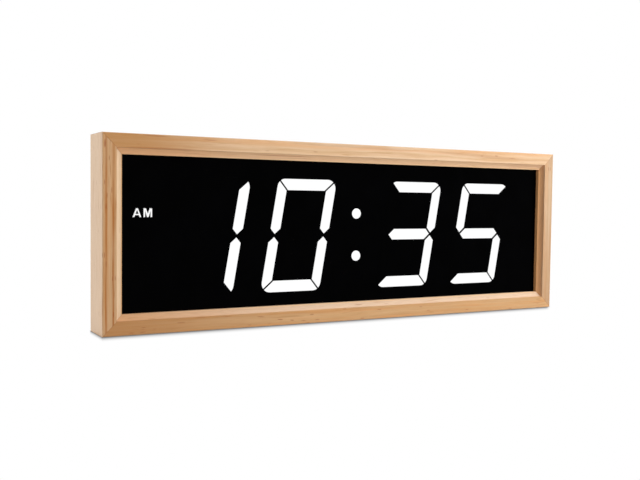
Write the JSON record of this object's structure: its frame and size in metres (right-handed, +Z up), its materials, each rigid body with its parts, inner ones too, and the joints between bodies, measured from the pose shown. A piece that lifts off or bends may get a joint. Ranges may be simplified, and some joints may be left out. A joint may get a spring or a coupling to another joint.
{
  "type": "digital wall clock",
  "caption": "Long low digital clock: black seven-segment display with a colon and half-day marks, in a mitred wooden frame with a screwed back cover.",
  "frame": {"origin": "middle of the underside, where the clock stands", "axes": "+X to the right along the clock as it is read, +Y from the front to the back, +Z up"},
  "size_m": [0.457, 0.0364, 0.155],
  "materials": {
    "wood": "natural softwood, clear satin lacquer",
    "front_panel": "gloss black",
    "lit_lens": "milky diffuser, lit white",
    "dark_lens": "smoked diffuser, unlit",
    "light_box": "white moulded",
    "circuit_board": "green solder mask",
    "black_plastic": "matt black",
    "back_cover": "fine spark texture, black",
    "button": "matt grey rubber",
    "coin_cell": "satin",
    "screw": "bright zinc"
  },
  "bodies": {
    "case": {"frame_top_rail": "wood", "frame_bottom_rail": "wood", "frame_left_stile": "wood", "frame_right_stile": "wood", "front_panel": "front_panel", "hour_tens_segment_a": "dark_lens", "hour_tens_segment_b": "lit_lens", "hour_tens_segment_c": "lit_lens", "hour_tens_segment_d": "dark_lens", "hour_tens_segment_e": "dark_lens", "hour_tens_segment_f": "dark_lens", "hour_tens_segment_g": "dark_lens", "hour_units_segment_a": "lit_lens", "hour_units_segment_b": "lit_lens", "hour_units_segment_c": "lit_lens", "hour_units_segment_d": "lit_lens", "hour_units_segment_e": "lit_lens", "hour_units_segment_f": "lit_lens", "hour_units_segment_g": "dark_lens", "minute_tens_segment_a": "lit_lens", "minute_tens_segment_b": "lit_lens", "minute_tens_segment_c": "lit_lens", "minute_tens_segment_d": "lit_lens", "minute_tens_segment_e": "dark_lens", "minute_tens_segment_f": "dark_lens", "minute_tens_segment_g": "lit_lens", "minute_units_segment_a": "lit_lens", "minute_units_segment_b": "dark_lens", "minute_units_segment_c": "lit_lens", "minute_units_segment_d": "lit_lens", "minute_units_segment_e": "dark_lens", "minute_units_segment_f": "lit_lens", "minute_units_segment_g": "lit_lens", "colon_upper": "lit_lens", "colon_lower": "lit_lens", "am_mark": "lit_lens", "pm_mark": "dark_lens", "light_box": "light_box", "led_board": "circuit_board", "control_board": "circuit_board", "board_header": "black_plastic", "ir_receiver": "black_plastic", "dc_jack": "black_plastic", "buzzer": "black_plastic", "cell_holder": "black_plastic", "coin_cell": "coin_cell", "back_cover": "back_cover", "back_screw_1": "screw", "back_screw_2": "screw", "back_screw_3": "screw", "back_screw_4": "screw", "back_screw_5": "screw", "back_screw_6": "screw", "board_screw_1": "screw", "board_screw_2": "screw"},
    "set_button": {"button_set": "button"},
    "down_button": {"button_down": "button"},
    "up_button": {"button_up": "button"},
    "cap": {"battery_cap": "back_cover"}
  },
  "joints": [
    {"name": "set_button_press", "type": "slide", "parent": "case", "child": "set_button", "axis": [0, -1, 0], "range_m": [0, 0.0008], "stiffness_N_per_m": 800},
    {"name": "down_button_press", "type": "slide", "parent": "case", "child": "down_button", "axis": [0, -1, 0], "range_m": [0, 0.0008], "stiffness_N_per_m": 800},
    {"name": "up_button_press", "type": "slide", "parent": "case", "child": "up_button", "axis": [0, -1, 0], "range_m": [0, 0.0008], "stiffness_N_per_m": 800},
    {"name": "cap_turn", "type": "hinge", "parent": "case", "child": "cap", "pos_m": [0.12588, 0.0162, 0.073], "axis": [0, 1, 0], "range_deg": [0, 45]}
  ]
}
